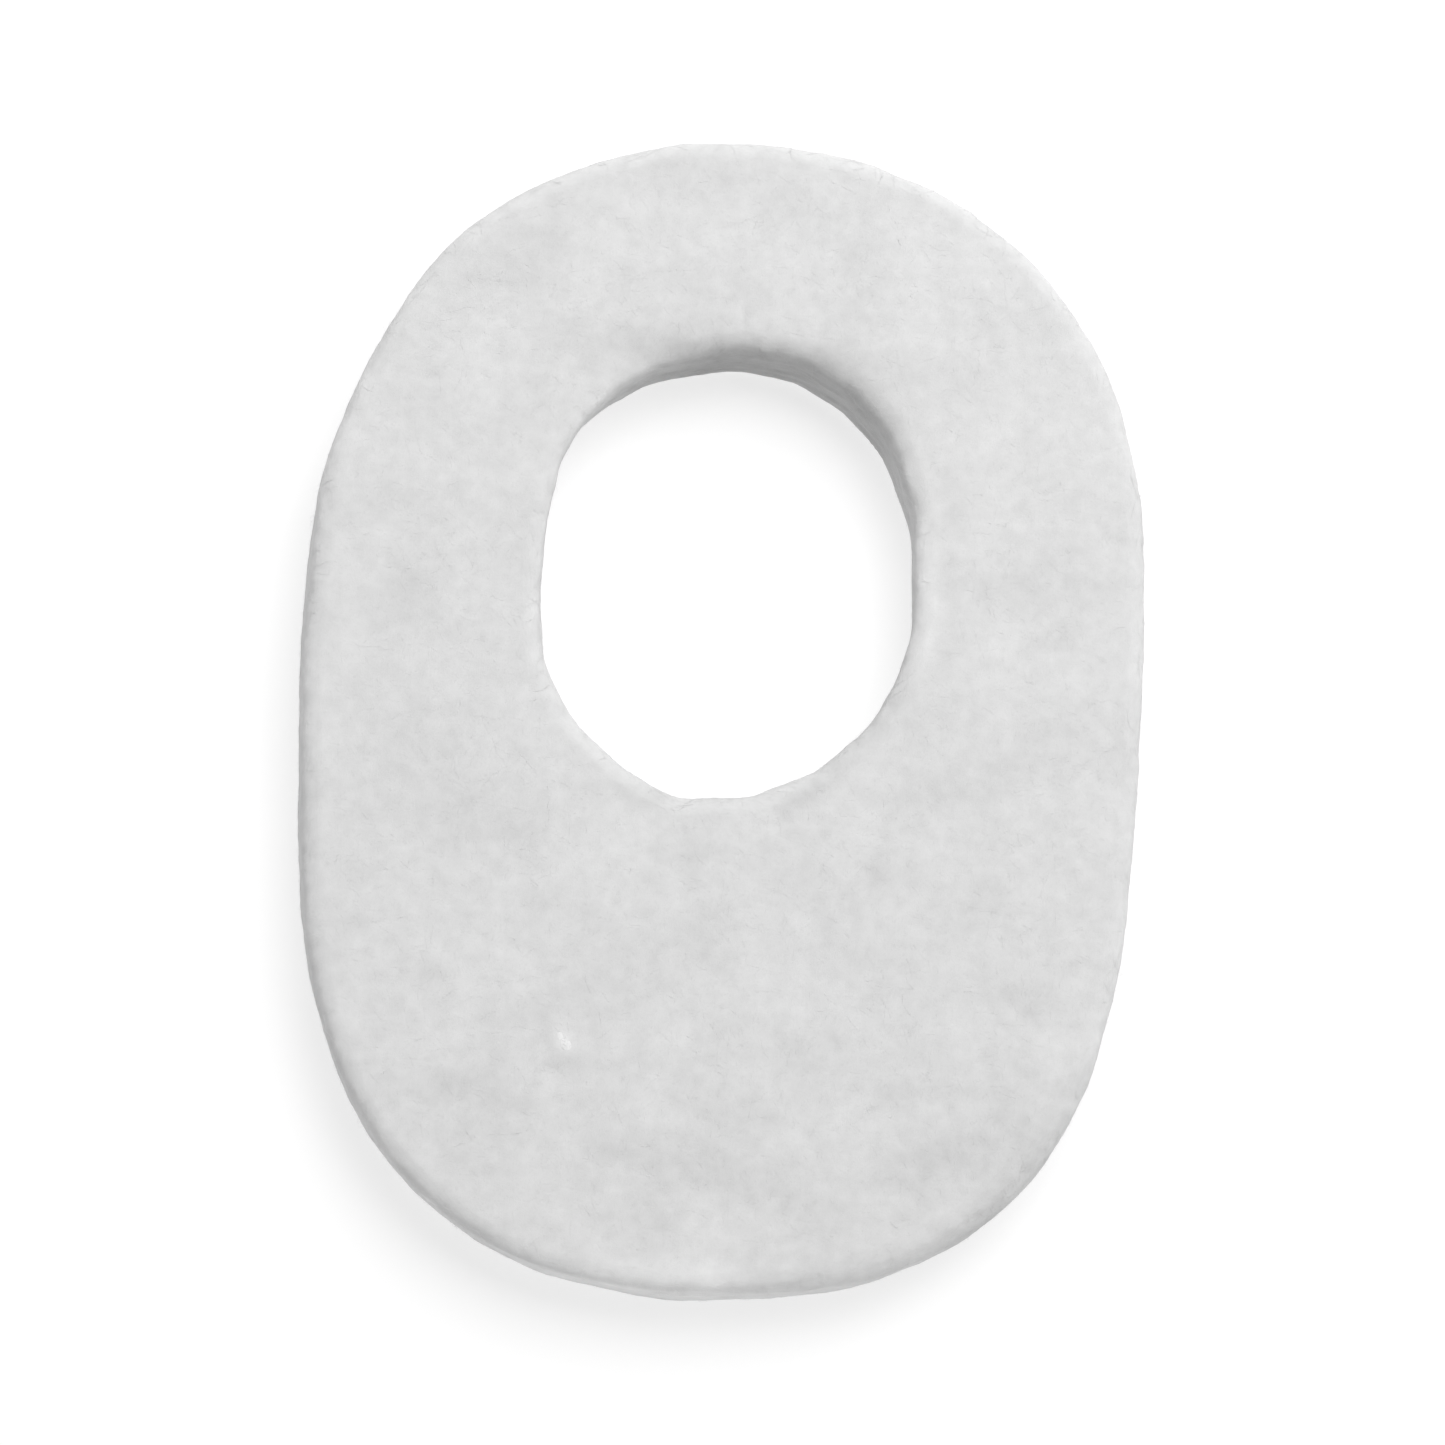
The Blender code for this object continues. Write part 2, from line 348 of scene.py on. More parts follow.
class FeltStageSettings(bpy.types.PropertyGroup):
    """The floor, the lights and the camera."""

    floor_colour: FloatVectorProperty(
        name="Floor colour", description="Colour of the plain floor",
        default=(0.32, 0.32, 0.32), min=0.0, max=1.0, size=3, subtype="COLOR",
    )
    floor_glow: FloatProperty(
        name="Floor glow", description="Brightness that the floor has of its own, as on a light table",
        default=0.70, min=0.0,
    )
    floor_radius: FloatProperty(
        name="Floor radius", description="Radius of the round floor", default=1.5, min=0.1, unit="LENGTH",
    )
    key_power: FloatProperty(
        name="Key power", description="Power of the large soft light", default=3.65, min=0.0, unit="POWER",
    )
    key_size: FloatProperty(
        name="Key size", description="Side of the large soft light", default=0.44, min=0.01, unit="LENGTH",
    )
    key_distance: FloatProperty(
        name="Key distance", description="How far the soft light is from the pad",
        default=0.55, min=0.1, unit="LENGTH",
    )
    key_azimuth: FloatProperty(
        name="Key azimuth", description="Where the soft light stands, anticlockwise from +X",
        default=math.radians(66), subtype="ANGLE",
    )
    key_elevation: FloatProperty(
        name="Key elevation", description="How high the soft light stands over the floor",
        default=math.radians(60), subtype="ANGLE",
    )
    low_power: FloatProperty(
        name="Low fill power", description="Power of the low panel that lights the cut edges from in front",
        default=0.6, min=0.0, unit="POWER",
    )
    low_azimuth: FloatProperty(
        name="Low fill azimuth", description="Where the low panel stands, anticlockwise from +X",
        default=math.radians(280), subtype="ANGLE",
    )
    low_elevation: FloatProperty(
        name="Low fill elevation", description="How high the low panel stands over the floor",
        default=math.radians(3), subtype="ANGLE",
    )
    fill_strength: FloatProperty(
        name="Fill strength", description="Brightness of the even light from all round",
        default=0.19, min=0.0,
    )
    horizon_strength: FloatProperty(
        name="Horizon strength", description="Brightness that the even light gains down at floor level",
        default=1.1, min=0.0,
    )
    camera_azimuth: FloatProperty(
        name="Camera azimuth", description="How far the camera stands round to the -X side of -Y",
        default=math.radians(29), subtype="ANGLE",
    )
    camera_elevation: FloatProperty(
        name="Camera elevation", description="How high the camera looks down from",
        default=math.radians(77.5), subtype="ANGLE",
    )
    camera_distance: FloatProperty(
        name="Camera distance", description="Distance from the camera to the pad",
        default=0.275, min=0.01, unit="LENGTH",
    )
    view_width: FloatProperty(
        name="View width", description="Width of the picture at the pad",
        default=74.3 * MM, min=1 * MM, unit="LENGTH",
    )
    look_at: FloatVectorProperty(
        name="Look at", description="The point in the middle of the picture",
        default=(-0.07 * MM, -0.49 * MM, 2.5 * MM), size=3, subtype="TRANSLATION",
    )


# Node building


def live(sockets, name):
    """The socket in use that has this name, or the one at this place in the list."""
    if isinstance(name, int):
        return sockets[name]
    return next(socket for socket in sockets if socket.name == name and socket.enabled)


def add(tree, kind, inputs=None, **settings):
    """Adds a node, with its settings, and each named input wired to a socket or set to a value."""
    node = tree.nodes.new(kind)
    for name, value in settings.items():
        setattr(node, name, value)
    for name, value in (inputs or {}).items():
        socket = live(node.inputs, name)
        if isinstance(value, bpy.types.NodeSocket):
            tree.links.new(value, socket)
        else:
            socket.default_value = value
    return node


def out(tree, kind, inputs=None, output=0, **settings):
    """Adds a node as add does, and gives back one of its outputs."""
    return live(add(tree, kind, inputs, **settings).outputs, output)


def maths(tree, operation, *values):
    """A Math node of that operation on these values."""
    return out(tree, "ShaderNodeMath", dict(enumerate(values)), operation=operation)


def vectors(tree, operation, *values):
    """A Vector Math node of that operation. A scale's factor is given last."""
    inputs = dict(enumerate(values))
    if operation == "SCALE":
        inputs = {0: values[0], "Scale": values[1]}
    return out(tree, "ShaderNodeVectorMath", inputs, operation=operation)


def noise(tree, vector, size, detail=2.0, roughness=0.5, output="Fac"):
    """Noise whose bumps are about that size. size is a length or a socket."""
    scale = maths(tree, "DIVIDE", 1.0, size)
    inputs = {"Vector": vector, "Scale": scale, "Detail": detail, "Roughness": roughness}
    return out(tree, "ShaderNodeTexNoise", inputs, output=output)


def centred(tree, value, strength):
    """A 0 to 1 value as one from -strength to strength."""
    return maths(tree, "MULTIPLY", maths(tree, "MULTIPLY_ADD", value, 2.0, -1.0), strength)


def hump(tree, value):
    """A 0 to 1 value as a hump, 1 in the middle and 0 at both ends."""
    return maths(tree, "MULTIPLY", maths(tree, "MULTIPLY", value, maths(tree, "SUBTRACT", 1.0, value)), 4.0)


def mix(tree, factor, low, high, **settings):
    """Low at factor 0, going over into high at factor 1."""
    return out(tree, "ShaderNodeMix", {"Factor": factor, "A": low, "B": high}, "Result", **settings)


def new_group(name, kind, inputs, outputs):
    """A new node group, its Group Input and its Group Output. Sockets are (name, kind, default)."""
    tree = bpy.data.node_groups.new(name, kind)
    for label, held, default in inputs:
        socket = tree.interface.new_socket(label, in_out="INPUT", socket_type="NodeSocket" + held)
        if default is not None:
            socket.default_value = default
    for label, held in outputs:
        tree.interface.new_socket(label, in_out="OUTPUT", socket_type="NodeSocket" + held)
    return tree, tree.nodes.new("NodeGroupInput").outputs, tree.nodes.new("NodeGroupOutput").inputs


def place_group(tree, group, inputs):
    """Places a node group in a tree, with its inputs wired or set, and gives back its outputs."""
    return add(tree, tree.bl_idname.replace("Tree", "Group"), inputs, node_tree=group).outputs


# Shader groups


def wool_mottle_group():
    """The uneven tone of matted wool, as an added share of its brightness."""
    found = bpy.data.node_groups.get("Wool mottle")
    if found:
        return found
    tree, given, result = new_group(
        "Wool mottle",
        "ShaderNodeTree",
        [
            ("Vector", "Vector", None),
            ("Cloud Size", "Float", 3.0 * MM),
            ("Cloud Strength", "Float", 0.1),
            ("Tuft Size", "Float", 0.6 * MM),
            ("Tuft Strength", "Float", 0.1),
        ],
        [("Tone", "Float")],
    )
    cloud = noise(tree, given["Vector"], given["Cloud Size"], detail=3.0, roughness=0.6)
    tuft = noise(tree, given["Vector"], given["Tuft Size"], detail=3.0, roughness=0.6)
    tone = maths(
        tree, "ADD",
        centred(tree, cloud, given["Cloud Strength"]),
        centred(tree, tuft, given["Tuft Strength"]),
    )
    tree.links.new(tone, result["Tone"])
    return tree


def fibre_web_group():
    """The web of crossing fibres that felt is made of, as a height from 0 to 1."""
    found = bpy.data.node_groups.get("Fibre web")
    if found:
        return found
    tree, given, result = new_group(
        "Fibre web",
        "ShaderNodeTree",
        [
            ("Vector", "Vector", None),
            ("Fibre Length", "Float", 1.2 * MM),
            ("Fibre Width", "Float", 0.07 * MM),
            ("Bend", "Float", 0.4 * MM),
        ],
        [("Height", "Float")],
    )
    bend = noise(tree, given["Vector"], given["Fibre Length"], detail=1.0, output="Color")
    bend = vectors(tree, "SCALE", vectors(tree, "SUBTRACT", bend, (0.5, 0.5, 0.5)), given["Bend"])
    bent = vectors(tree, "ADD", given["Vector"], bend)
    along = maths(tree, "DIVIDE", 1.0, given["Fibre Length"])
    across = maths(tree, "DIVIDE", 1.0, given["Fibre Width"])
    squeeze = out(tree, "ShaderNodeCombineXYZ", {"X": along, "Y": across, "Z": across})
    height = None
    for turn_deg in WEB_TURNS_DEG:
        turned = out(
            tree, "ShaderNodeVectorRotate",
            {"Vector": bent, "Axis": (0.0, 0.0, 1.0), "Angle": math.radians(turn_deg)},
            rotation_type="AXIS_ANGLE",
        )
        streaks = out(
            tree, "ShaderNodeTexNoise",
            {"Vector": vectors(tree, "MULTIPLY", turned, squeeze), "Scale": 1.0, "Detail": 1.0},
            output="Fac",
        )
        away = maths(tree, "ABSOLUTE", centred(tree, streaks, STREAK_NARROWNESS))
        ridge = maths(tree, "SUBTRACT", 1.0, away)
        height = ridge if height is None else maths(tree, "MAXIMUM", height, ridge)
    tree.links.new(maths(tree, "MAXIMUM", height, 0.0), result["Height"])
    return tree


def cut_layers_group():
    """The layers of wool that a cut lays open, running level round the edge, as a height from 0 to 1."""
    found = bpy.data.node_groups.get("Cut layers")
    if found:
        return found
    tree, given, result = new_group(
        "Cut layers",
        "ShaderNodeTree",
        [
            ("Vector", "Vector", None),
            ("Layer Thickness", "Float", 0.3 * MM),
            ("Layer Length", "Float", 2.5 * MM),
        ],
        [("Height", "Float")],
    )
    along = maths(tree, "DIVIDE", 1.0, given["Layer Length"])
    up = maths(tree, "DIVIDE", 1.0, given["Layer Thickness"])
    squeeze = out(tree, "ShaderNodeCombineXYZ", {"X": along, "Y": along, "Z": up})
    layers = out(
        tree, "ShaderNodeTexNoise",
        {"Vector": vectors(tree, "MULTIPLY", given["Vector"], squeeze), "Scale": 1.0, "Detail": 3.0},
        output="Fac",
    )
    tree.links.new(layers, result["Height"])
    return tree


# Materials


def new_material(name, finish):
    """A new node material with this finish, its tree, its shader and its Object coordinates."""
    material = bpy.data.materials.new(name)
    material.use_nodes = True
    tree = material.node_tree
    shader = tree.nodes["Principled BSDF"]
    for socket_name, value in finish.items():
        shader.inputs[socket_name].default_value = value
    return material, tree, shader, out(tree, "ShaderNodeTexCoord", output="Object")


def wool_colour(tree, settings, position, added_tone):
    """Wool between its dark and its light colour, by the mottle and the spots of the face, which carry
    painted shade and painted light too.
    """
    mottle = place_group(
        tree,
        wool_mottle_group(),
        {"Vector": position, "Cloud Strength": CLOUD_TONE, "Tuft Strength": TUFT_TONE, **MOTTLE_SIZES},
    )["Tone"]
    wisps = place_group(tree, fibre_web_group(), {"Vector": position, **WISP_SIZES})["Height"]
    wisp_tone = maths(tree, "MULTIPLY_ADD", wisps, WISP_TONE, -WISP_TONE * WEB_MIDDLE)
    spots = out(tree, "ShaderNodeAttribute", output="Fac", attribute_name=TONE)
    tone = maths(tree, "ADD", maths(tree, "ADD", mottle, wisp_tone), maths(tree, "ADD", spots, added_tone))
    light, dark = settings.light_wool, settings.dark_wool
    middle = (light[0] + dark[0]) / 2
    share = maths(tree, "MULTIPLY_ADD", tone, middle / (light[0] - dark[0]), 0.5)
    return mix(tree, share, (*dark, 1.0), (*light, 1.0), data_type="RGBA")


def felt_material(settings):
    """The felt's own surface: mottled wool, a web of fibres on the faces and layers in the cut edges."""
    material, tree, shader, position = new_material("pressed_felt", WOOL_FINISH)
    cut = out(tree, "ShaderNodeAttribute", output="Fac", attribute_name=CUT_EDGE)
    web = place_group(tree, fibre_web_group(), {"Vector": position})["Height"]
    layers = place_group(tree, cut_layers_group(), {"Vector": position})["Height"]
    layer_tone = maths(tree, "MULTIPLY", centred(tree, layers, LAYER_TONE), cut)
    # Painted shade: the wool is darker where the web lies low between its fibres.
    shade_between_fibres = maths(tree, "MULTIPLY_ADD", web, FIBRE_SHADE_TONE, -FIBRE_SHADE_TONE * WEB_MIDDLE)
    colour = wool_colour(tree, settings, position, maths(tree, "ADD", layer_tone, shade_between_fibres))
    height = maths(tree, "MULTIPLY_ADD", maths(tree, "MULTIPLY", layers, cut), LAYER_BUMP, web)
    relief = {"Strength": BUMP_STRENGTH, "Distance": BUMP_DISTANCE, "Height": height}
    bump = out(tree, "ShaderNodeBump", relief)
    tree.links.new(colour, shader.inputs["Base Color"])
    tree.links.new(bump, shader.inputs["Normal"])
    return material


def fibre_material(settings):
    """Single loose fibres, of the same wool as the felt that they lie on, lightened a little by painted light
    that offsets their own shade and shadows.
    """
    material, tree, shader, position = new_material(FIBRE_MATERIAL, WOOL_FINISH)
    # Painted light: the fibres are lighter than the felt to offset their own shade and shadows.
    colour = wool_colour(tree, settings, position, LOOSE_FIBRE_PAINTED_LIGHT)
    tree.links.new(colour, shader.inputs["Base Color"])
    return material


def floor_material(settings):
    """A plain matt floor, very slightly cloudy."""
    finish = {**FLOOR_FINISH, "Emission Strength": settings.floor_glow}
    material, tree, shader, position = new_material("pale_floor", finish)
    cloud = noise(tree, position, FLOOR_CLOUD_SIZE)
    brightness = maths(tree, "MULTIPLY_ADD", cloud, FLOOR_CLOUD_TONE, 1.0 - FLOOR_CLOUD_TONE / 2)
    colour = vectors(tree, "SCALE", tuple(settings.floor_colour), brightness)
    tree.links.new(colour, shader.inputs["Base Color"])
    return material


# Geometry node trees


def stored(tree, name, data_type="FLOAT"):
    """An attribute of the geometry, read by its name."""
    return out(tree, "GeometryNodeInputNamedAttribute", {"Name": name}, "Attribute", data_type=data_type)


def end_tree(tree, geometry, given, result):
    """Ends a tree: the geometry is made real, and gets its material."""
    real = out(tree, "GeometryNodeRealizeInstances", {"Geometry": geometry})
    final = out(tree, "GeometryNodeSetMaterial", {"Geometry": real, "Material": given["Material"]})
    tree.links.new(final, result["Geometry"])
    return tree


def felt_relief_tree():
    """Raises clouds and lumps on the faces, and layers on the cut edges. The skin face is only pressed in."""
    found = bpy.data.node_groups.get("Felt relief")
    if found:
        return found
    tree, given, result = new_group(
        "Felt relief",
        "GeometryNodeTree",
        [
            ("Geometry", "Geometry", None),
            *((name, "Float", 1.0 * MM) for name in RELIEF_SIZES),
            ("Material", "Material", None),
        ],
        [("Geometry", "Geometry")],
    )
    position = out(tree, "GeometryNodeInputPosition")
    normal = out(tree, "GeometryNodeInputNormal")
    cut = stored(tree, CUT_EDGE)
    up = out(tree, "ShaderNodeSeparateXYZ", {"Vector": normal}, output="Z")
    clouds = centred(tree, noise(tree, position, given["Cloud Size"]), given["Cloud Height"])
    lumps = noise(tree, position, given["Lump Size"], detail=3.0, roughness=0.55)
    lumps = centred(tree, lumps, given["Lump Height"])
    flat = vectors(tree, "MULTIPLY", position, (LAYER_FLATNESS, LAYER_FLATNESS, 1.0))
    layers = centred(tree, noise(tree, flat, given["Layer Thickness"]), given["Layer Height"])
    face_height = maths(tree, "ADD", clouds, lumps)
    cut_height = maths(tree, "ADD", layers, lumps)
    height = mix(tree, cut, face_height, cut_height)
    tufts = centred(tree, noise(tree, position, given["Tuft Size"]), given["Tuft Height"])
    height = maths(tree, "MULTIPLY_ADD", tufts, hump(tree, cut), height)
    inwards = maths(tree, "MULTIPLY", maths(tree, "ABSOLUTE", height), -UNDERSIDE_SHARE)
    height = mix(tree, maths(tree, "LESS_THAN", up, UNDERSIDE_UNDER), height, inwards)
    moved = out(
        tree, "GeometryNodeSetPosition",
        {"Geometry": given["Geometry"], "Offset": vectors(tree, "SCALE", normal, height)},
    )
    smooth = out(tree, "GeometryNodeSetShadeSmooth", {"Geometry": moved, "Shade Smooth": True})
    return end_tree(tree, smooth, given, result)


def felt_fibres_tree():
    """Scatters wool fibres over one region of the felt. Each wanders over the surface and lifts off it."""
    found = bpy.data.node_groups.get("Felt fibres")
    if found:
        return found
    tree, given, result = new_group(
        "Felt fibres",
        "GeometryNodeTree",
        [
            ("Geometry", "Geometry", None),
            ("Region", "Int", 0),
            ("Fibres per Area", "Float", 1.0),
            ("Length", "Float", 1.0),
            ("Thickness", "Float", 0.1),
            ("Lift", "Float", 0.1),
            ("Free Ends", "Float", 0.3),
            ("Wander", "Float", 0.1),
            ("Lowest", "Float", 0.0),
            ("Points", "Int", 4),
            ("Seed", "Int", 0),
            ("Material", "Material", None),
        ],
        [("Geometry", "Geometry")],
    )
    chosen = out(
        tree, "FunctionNodeCompare", {"A": stored(tree, REGION, "INT"), "B": given["Region"]},
        data_type="INT", operation="EQUAL",
    )
    scattered = add(
        tree, "GeometryNodeDistributePointsOnFaces",
        {
            "Mesh": given["Geometry"], "Selection": chosen,
            "Density": given["Fibres per Area"], "Seed": given["Seed"],
        },
        distribute_method="RANDOM",
    )

    def random(low, high, place, data_type="FLOAT"):
        seed = maths(tree, "ADD", given["Seed"], float(place))
        inputs = {"Min": low, "Max": high, "Seed": seed}
        return out(tree, "FunctionNodeRandomValue", inputs, output="Value", data_type=data_type)

    points = scattered.outputs["Points"]
    own = (
        ("fibre_lift", "FLOAT", random(0.0, 1.0, 1)),
        ("fibre_free", "FLOAT", random(0.0, 1.0, 2)),
        ("fibre_shift", "FLOAT_VECTOR", random((0.0,) * 3, (1.0,) * 3, 3, "FLOAT_VECTOR")),
    )
    for name, data_type, value in own:
        points = out(
            tree, "GeometryNodeStoreNamedAttribute", {"Geometry": points, "Name": name, "Value": value},
            data_type=data_type, domain="POINT",
        )
    half = maths(tree, "MULTIPLY", given["Length"], 0.5)
    line = out(
        tree, "GeometryNodeCurvePrimitiveLine",
        {
            "Start": out(tree, "ShaderNodeCombineXYZ", {"X": maths(tree, "MULTIPLY", half, -1.0)}),
            "End": out(tree, "ShaderNodeCombineXYZ", {"X": half}),
        },
    )
    line = out(tree, "GeometryNodeResampleCurve", {"Curve": line, "Count": given["Points"]})
    turn = out(
        tree, "FunctionNodeAxisAngleToRotation",
        {"Axis": (0.0, 0.0, 1.0), "Angle": random(0.0, math.tau, 4)},
    )
    lying = out(
        tree, "FunctionNodeRotateRotation",
        {"Rotation": scattered.outputs["Rotation"], "Rotate By": turn}, rotation_space="LOCAL",
    )
    lines = out(
        tree, "GeometryNodeInstanceOnPoints",
        {"Points": points, "Instance": line, "Rotation": lying, "Scale": random(*FIBRE_SIZES, 5)},
    )
    lines = out(tree, "GeometryNodeRealizeInstances", {"Geometry": lines})
    position = out(tree, "GeometryNodeInputPosition")
    along = out(tree, "GeometryNodeSplineParameter", output="Factor")
    shift = vectors(tree, "ADD", position, stored(tree, "fibre_shift", "FLOAT_VECTOR"))
    bend_size = maths(tree, "MULTIPLY", given["Length"], SWAY_SIZE)
    sway = noise(tree, shift, bend_size, detail=1.0, output="Color")
    sway = vectors(tree, "SUBTRACT", sway, (0.5, 0.5, 0.5))
    sway = vectors(tree, "SCALE", sway, maths(tree, "MULTIPLY", given["Wander"], SWAY_GAIN))
    target = vectors(tree, "ADD", position, sway)
    under = out(
        tree, "GeometryNodeProximity", {"Geometry": given["Geometry"], "Sample Position": target},
        output="Position", target_element="FACES",
    )
    outwards = out(
        tree, "GeometryNodeSampleNearestSurface",
        {"Mesh": given["Geometry"], "Value": out(tree, "GeometryNodeInputNormal"), "Sample Position": target},
        output="Value", data_type="FLOAT_VECTOR",
    )
    arch = hump(tree, along)
    tip = maths(tree, "POWER", along, TIP_POWER)
    free = maths(tree, "LESS_THAN", stored(tree, "fibre_free"), given["Free Ends"])
    form = mix(tree, free, arch, tip)
    lift = maths(tree, "POWER", stored(tree, "fibre_lift"), LIFT_POWER)
    lift = maths(tree, "MULTIPLY", given["Lift"], lift)
    sunk = maths(tree, "MULTIPLY_ADD", arch, SUNK_ENDS, -SUNK_ENDS)
    sunk = maths(tree, "MULTIPLY", given["Thickness"], sunk)
    height = maths(tree, "MULTIPLY_ADD", form, lift, sunk)
    placed = vectors(tree, "ADD", under, vectors(tree, "SCALE", outwards, height))
    lowest = out(tree, "ShaderNodeCombineXYZ", {"X": -1.0, "Y": -1.0, "Z": given["Lowest"]})
    placed = vectors(tree, "MAXIMUM", placed, lowest)
    lines = out(tree, "GeometryNodeSetPosition", {"Geometry": lines, "Position": placed})
    lines = out(tree, "GeometryNodeSetCurveNormal", {"Curve": lines, "Normal": outwards}, mode="FREE")
    ring = out(
        tree, "GeometryNodeCurvePrimitiveCircle",
        {"Resolution": 3, "Radius": maths(tree, "MULTIPLY", given["Thickness"], 0.5)}, output="Curve",
    )
    ring = out(tree, "GeometryNodeTransform", {"Geometry": ring, "Scale": (FLATNESS, 1.0, 1.0)})
    taper = maths(tree, "MULTIPLY_ADD", arch, 1.0 - END_THICKNESS, END_THICKNESS)
    tubes = out(
        tree, "GeometryNodeCurveToMesh",
        {"Curve": lines, "Profile Curve": ring, "Scale": taper, "Fill Caps": True},
    )
    return end_tree(tree, tubes, given, result)


# Meshes


def set_inputs(modifier, values):
    """Sets a Geometry Nodes modifier's inputs, given by name, through their sockets' identifiers."""
    for item in modifier.node_group.interface.items_tree:
        if item.item_type == "SOCKET" and item.in_out == "INPUT" and item.name in values:
            modifier[item.identifier] = values[item.name]


def mesh_of(name, work):
    """A plain mesh of what was built in bmesh, which is freed."""
    mesh = bpy.data.meshes.new(name)
    work.to_mesh(mesh)
    work.free()
    return mesh


def new_object(name, data):
    """A new object at the origin that holds this mesh, light or camera."""
    made = bpy.data.objects.new(name, data)
    bpy.context.scene.collection.objects.link(made)
    return made


def as_evaluated(source, name):
    """A plain mesh of what the source's modifiers make of it. The source is removed."""
    graph = bpy.context.evaluated_depsgraph_get()
    mesh = bpy.data.meshes.new_from_object(
        source.evaluated_get(graph), preserve_all_data_layers=True, depsgraph=graph
    )
    mesh.name = name
    bpy.data.objects.remove(source)
    return mesh


def with_nodes(mesh, name, tree, values):
    """The mesh that a Geometry Nodes tree makes of this one."""
    source = new_object(name, mesh)
    modifier = source.modifiers.new(tree.name, "NODES")
    modifier.node_group = tree
    set_inputs(modifier, values)
    return as_evaluated(source, name)


def rows_of(items, name):
    """A place or a normal of each of a mesh's points or faces, as rows of three numbers."""
    values = np.empty(len(items) * 3, np.float32)
    items.foreach_get(name, values)
    return values.reshape(-1, 3)


def store(mesh, name, kind, domain, values):
    """Stores one number for each point or face of the mesh, as an attribute."""
    attribute = mesh.attributes.get(name) or mesh.attributes.new(name, kind, domain)
    attribute.data.foreach_set("value", values.astype(np.int32 if kind == "INT" else np.float32))


def spot_weight(points, spot):
    """How strongly a spot marks each point, from 0 to 1."""
    turn = math.radians(spot.turn_deg)
    away_x, away_y = points[:, 0] / MM - spot.x, points[:, 1] / MM - spot.y
    along = (away_x * math.cos(turn) + away_y * math.sin(turn)) / spot.half_length
    across = (away_y * math.cos(turn) - away_x * math.sin(turn)) / spot.half_width
    weight = np.exp(-(along**2 + across**2))
    weight[points[:, 2] < SPOTS_REACH_DOWN_TO * PAD_THICKNESS] = 0
    return weight


def write_tone(mesh, added=0.0):
    """Stores the brightness that the spots add to the wool at each point, with their painted shade and
    painted light, and an even share of its own.
    """
    points = rows_of(mesh.vertices, "co")
    tone = added + sum(spot.tone * spot_weight(points, spot) for spot in SPOTS)
    store(mesh, TONE, "FLOAT", "POINT", tone)


def press_spots(mesh):
    """Raises the neps and tufts, and presses the smudges and the crease in."""
    points, normals = rows_of(mesh.vertices, "co"), rows_of(mesh.vertices, "normal")
    height = sum(spot.height * MM * spot_weight(points, spot) for spot in SPOTS)
    moved = points + normals * height[:, None]
    mesh.vertices.foreach_set("co", moved.astype(np.float32).ravel())
    mesh.update()


def write_regions(mesh):
    """Stores which region each face lies in, and how far each point is on a cut edge."""
    normals, centres = rows_of(mesh.polygons, "normal"), rows_of(mesh.polygons, "center")
    from_hole = centres[:, :2] - np.array(HOLE_MIDDLE[:2])
    faces_hole = (normals[:, :2] * from_hole).sum(axis=1) < 0
    region = np.where(faces_hole, Region.HOLE_CUT, Region.BLANK_CUT)
    region[normals[:, 2] > RIM_OVER] = Region.RIM
    region[normals[:, 2] > SHOE_FACE_OVER] = Region.SHOE_FACE
    region[normals[:, 2] < SKIN_FACE_UNDER] = Region.SKIN_FACE
    store(mesh, REGION, "INT", "FACE", region)
    up = np.abs(rows_of(mesh.vertices, "normal")[:, 2])
    store(mesh, CUT_EDGE, "FLOAT", "POINT", np.clip((CUT_UNDER - up) / CUT_BLEND, 0, 1))


def hand_over(piece):
    """Makes a finished piece ride with the pad."""
    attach(piece, BODY)
    return piece


# Operators


class FELTPAD_OT_make_body(bpy.types.Operator):
    """Make the felt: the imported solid, meshed finely, with its clouds, lumps, cut layers and spots"""

    bl_idname = "feltpad.make_body"
    bl_label = "Make felt"

    def execute(self, context):
        settings = context.scene.felt_body
        work = bmesh.new()
        work.from_mesh(frame["nodes"][CAD_NODE].data)
        bmesh.ops.remove_doubles(work, verts=work.verts, dist=WELD_DISTANCE)
        source = new_object("felt_source", mesh_of("felt_source", work))
        remesh = source.modifiers.new("Fine mesh", "REMESH")
        remesh.mode = "VOXEL"
        remesh.voxel_size = settings.mesh_step
        smooth = source.modifiers.new("Even out", "SMOOTH")
        smooth.factor = SMOOTHING_SHARE
        smooth.iterations = SMOOTHING_ROUNDS
        fine = as_evaluated(source, "felt_fine")
        write_regions(fine)
        write_tone(fine)
        press_spots(fine)
        values = {name: getattr(settings, name.lower().replace(" ", "_")) for name in RELIEF_SIZES}
        values["Material"] = felt_material(settings)
        felt = with_nodes(fine, "felt", felt_relief_tree(), values)
        body = hand_over(new_object("felt", felt))
        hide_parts(CAD_NODE)
        return {"FINISHED"}


class Growth(NamedTuple):
    """How one piece of loose fibres grows on one region. Lengths are in metres.

    free_ends is the share of the fibres that have a loose end, where the others lie in an arch.
    points is how many points each fibre has, tone is its added share of the wool's brightness, and
    coarseness is how many times the usual thickness it has.
    """

    region: Region
    per_mm2: float
    length: float
    lift: float
    wander: float
    free_ends: float
    points: int
    seed: int
    tone: float = 0.0
    coarseness: float = 1.0


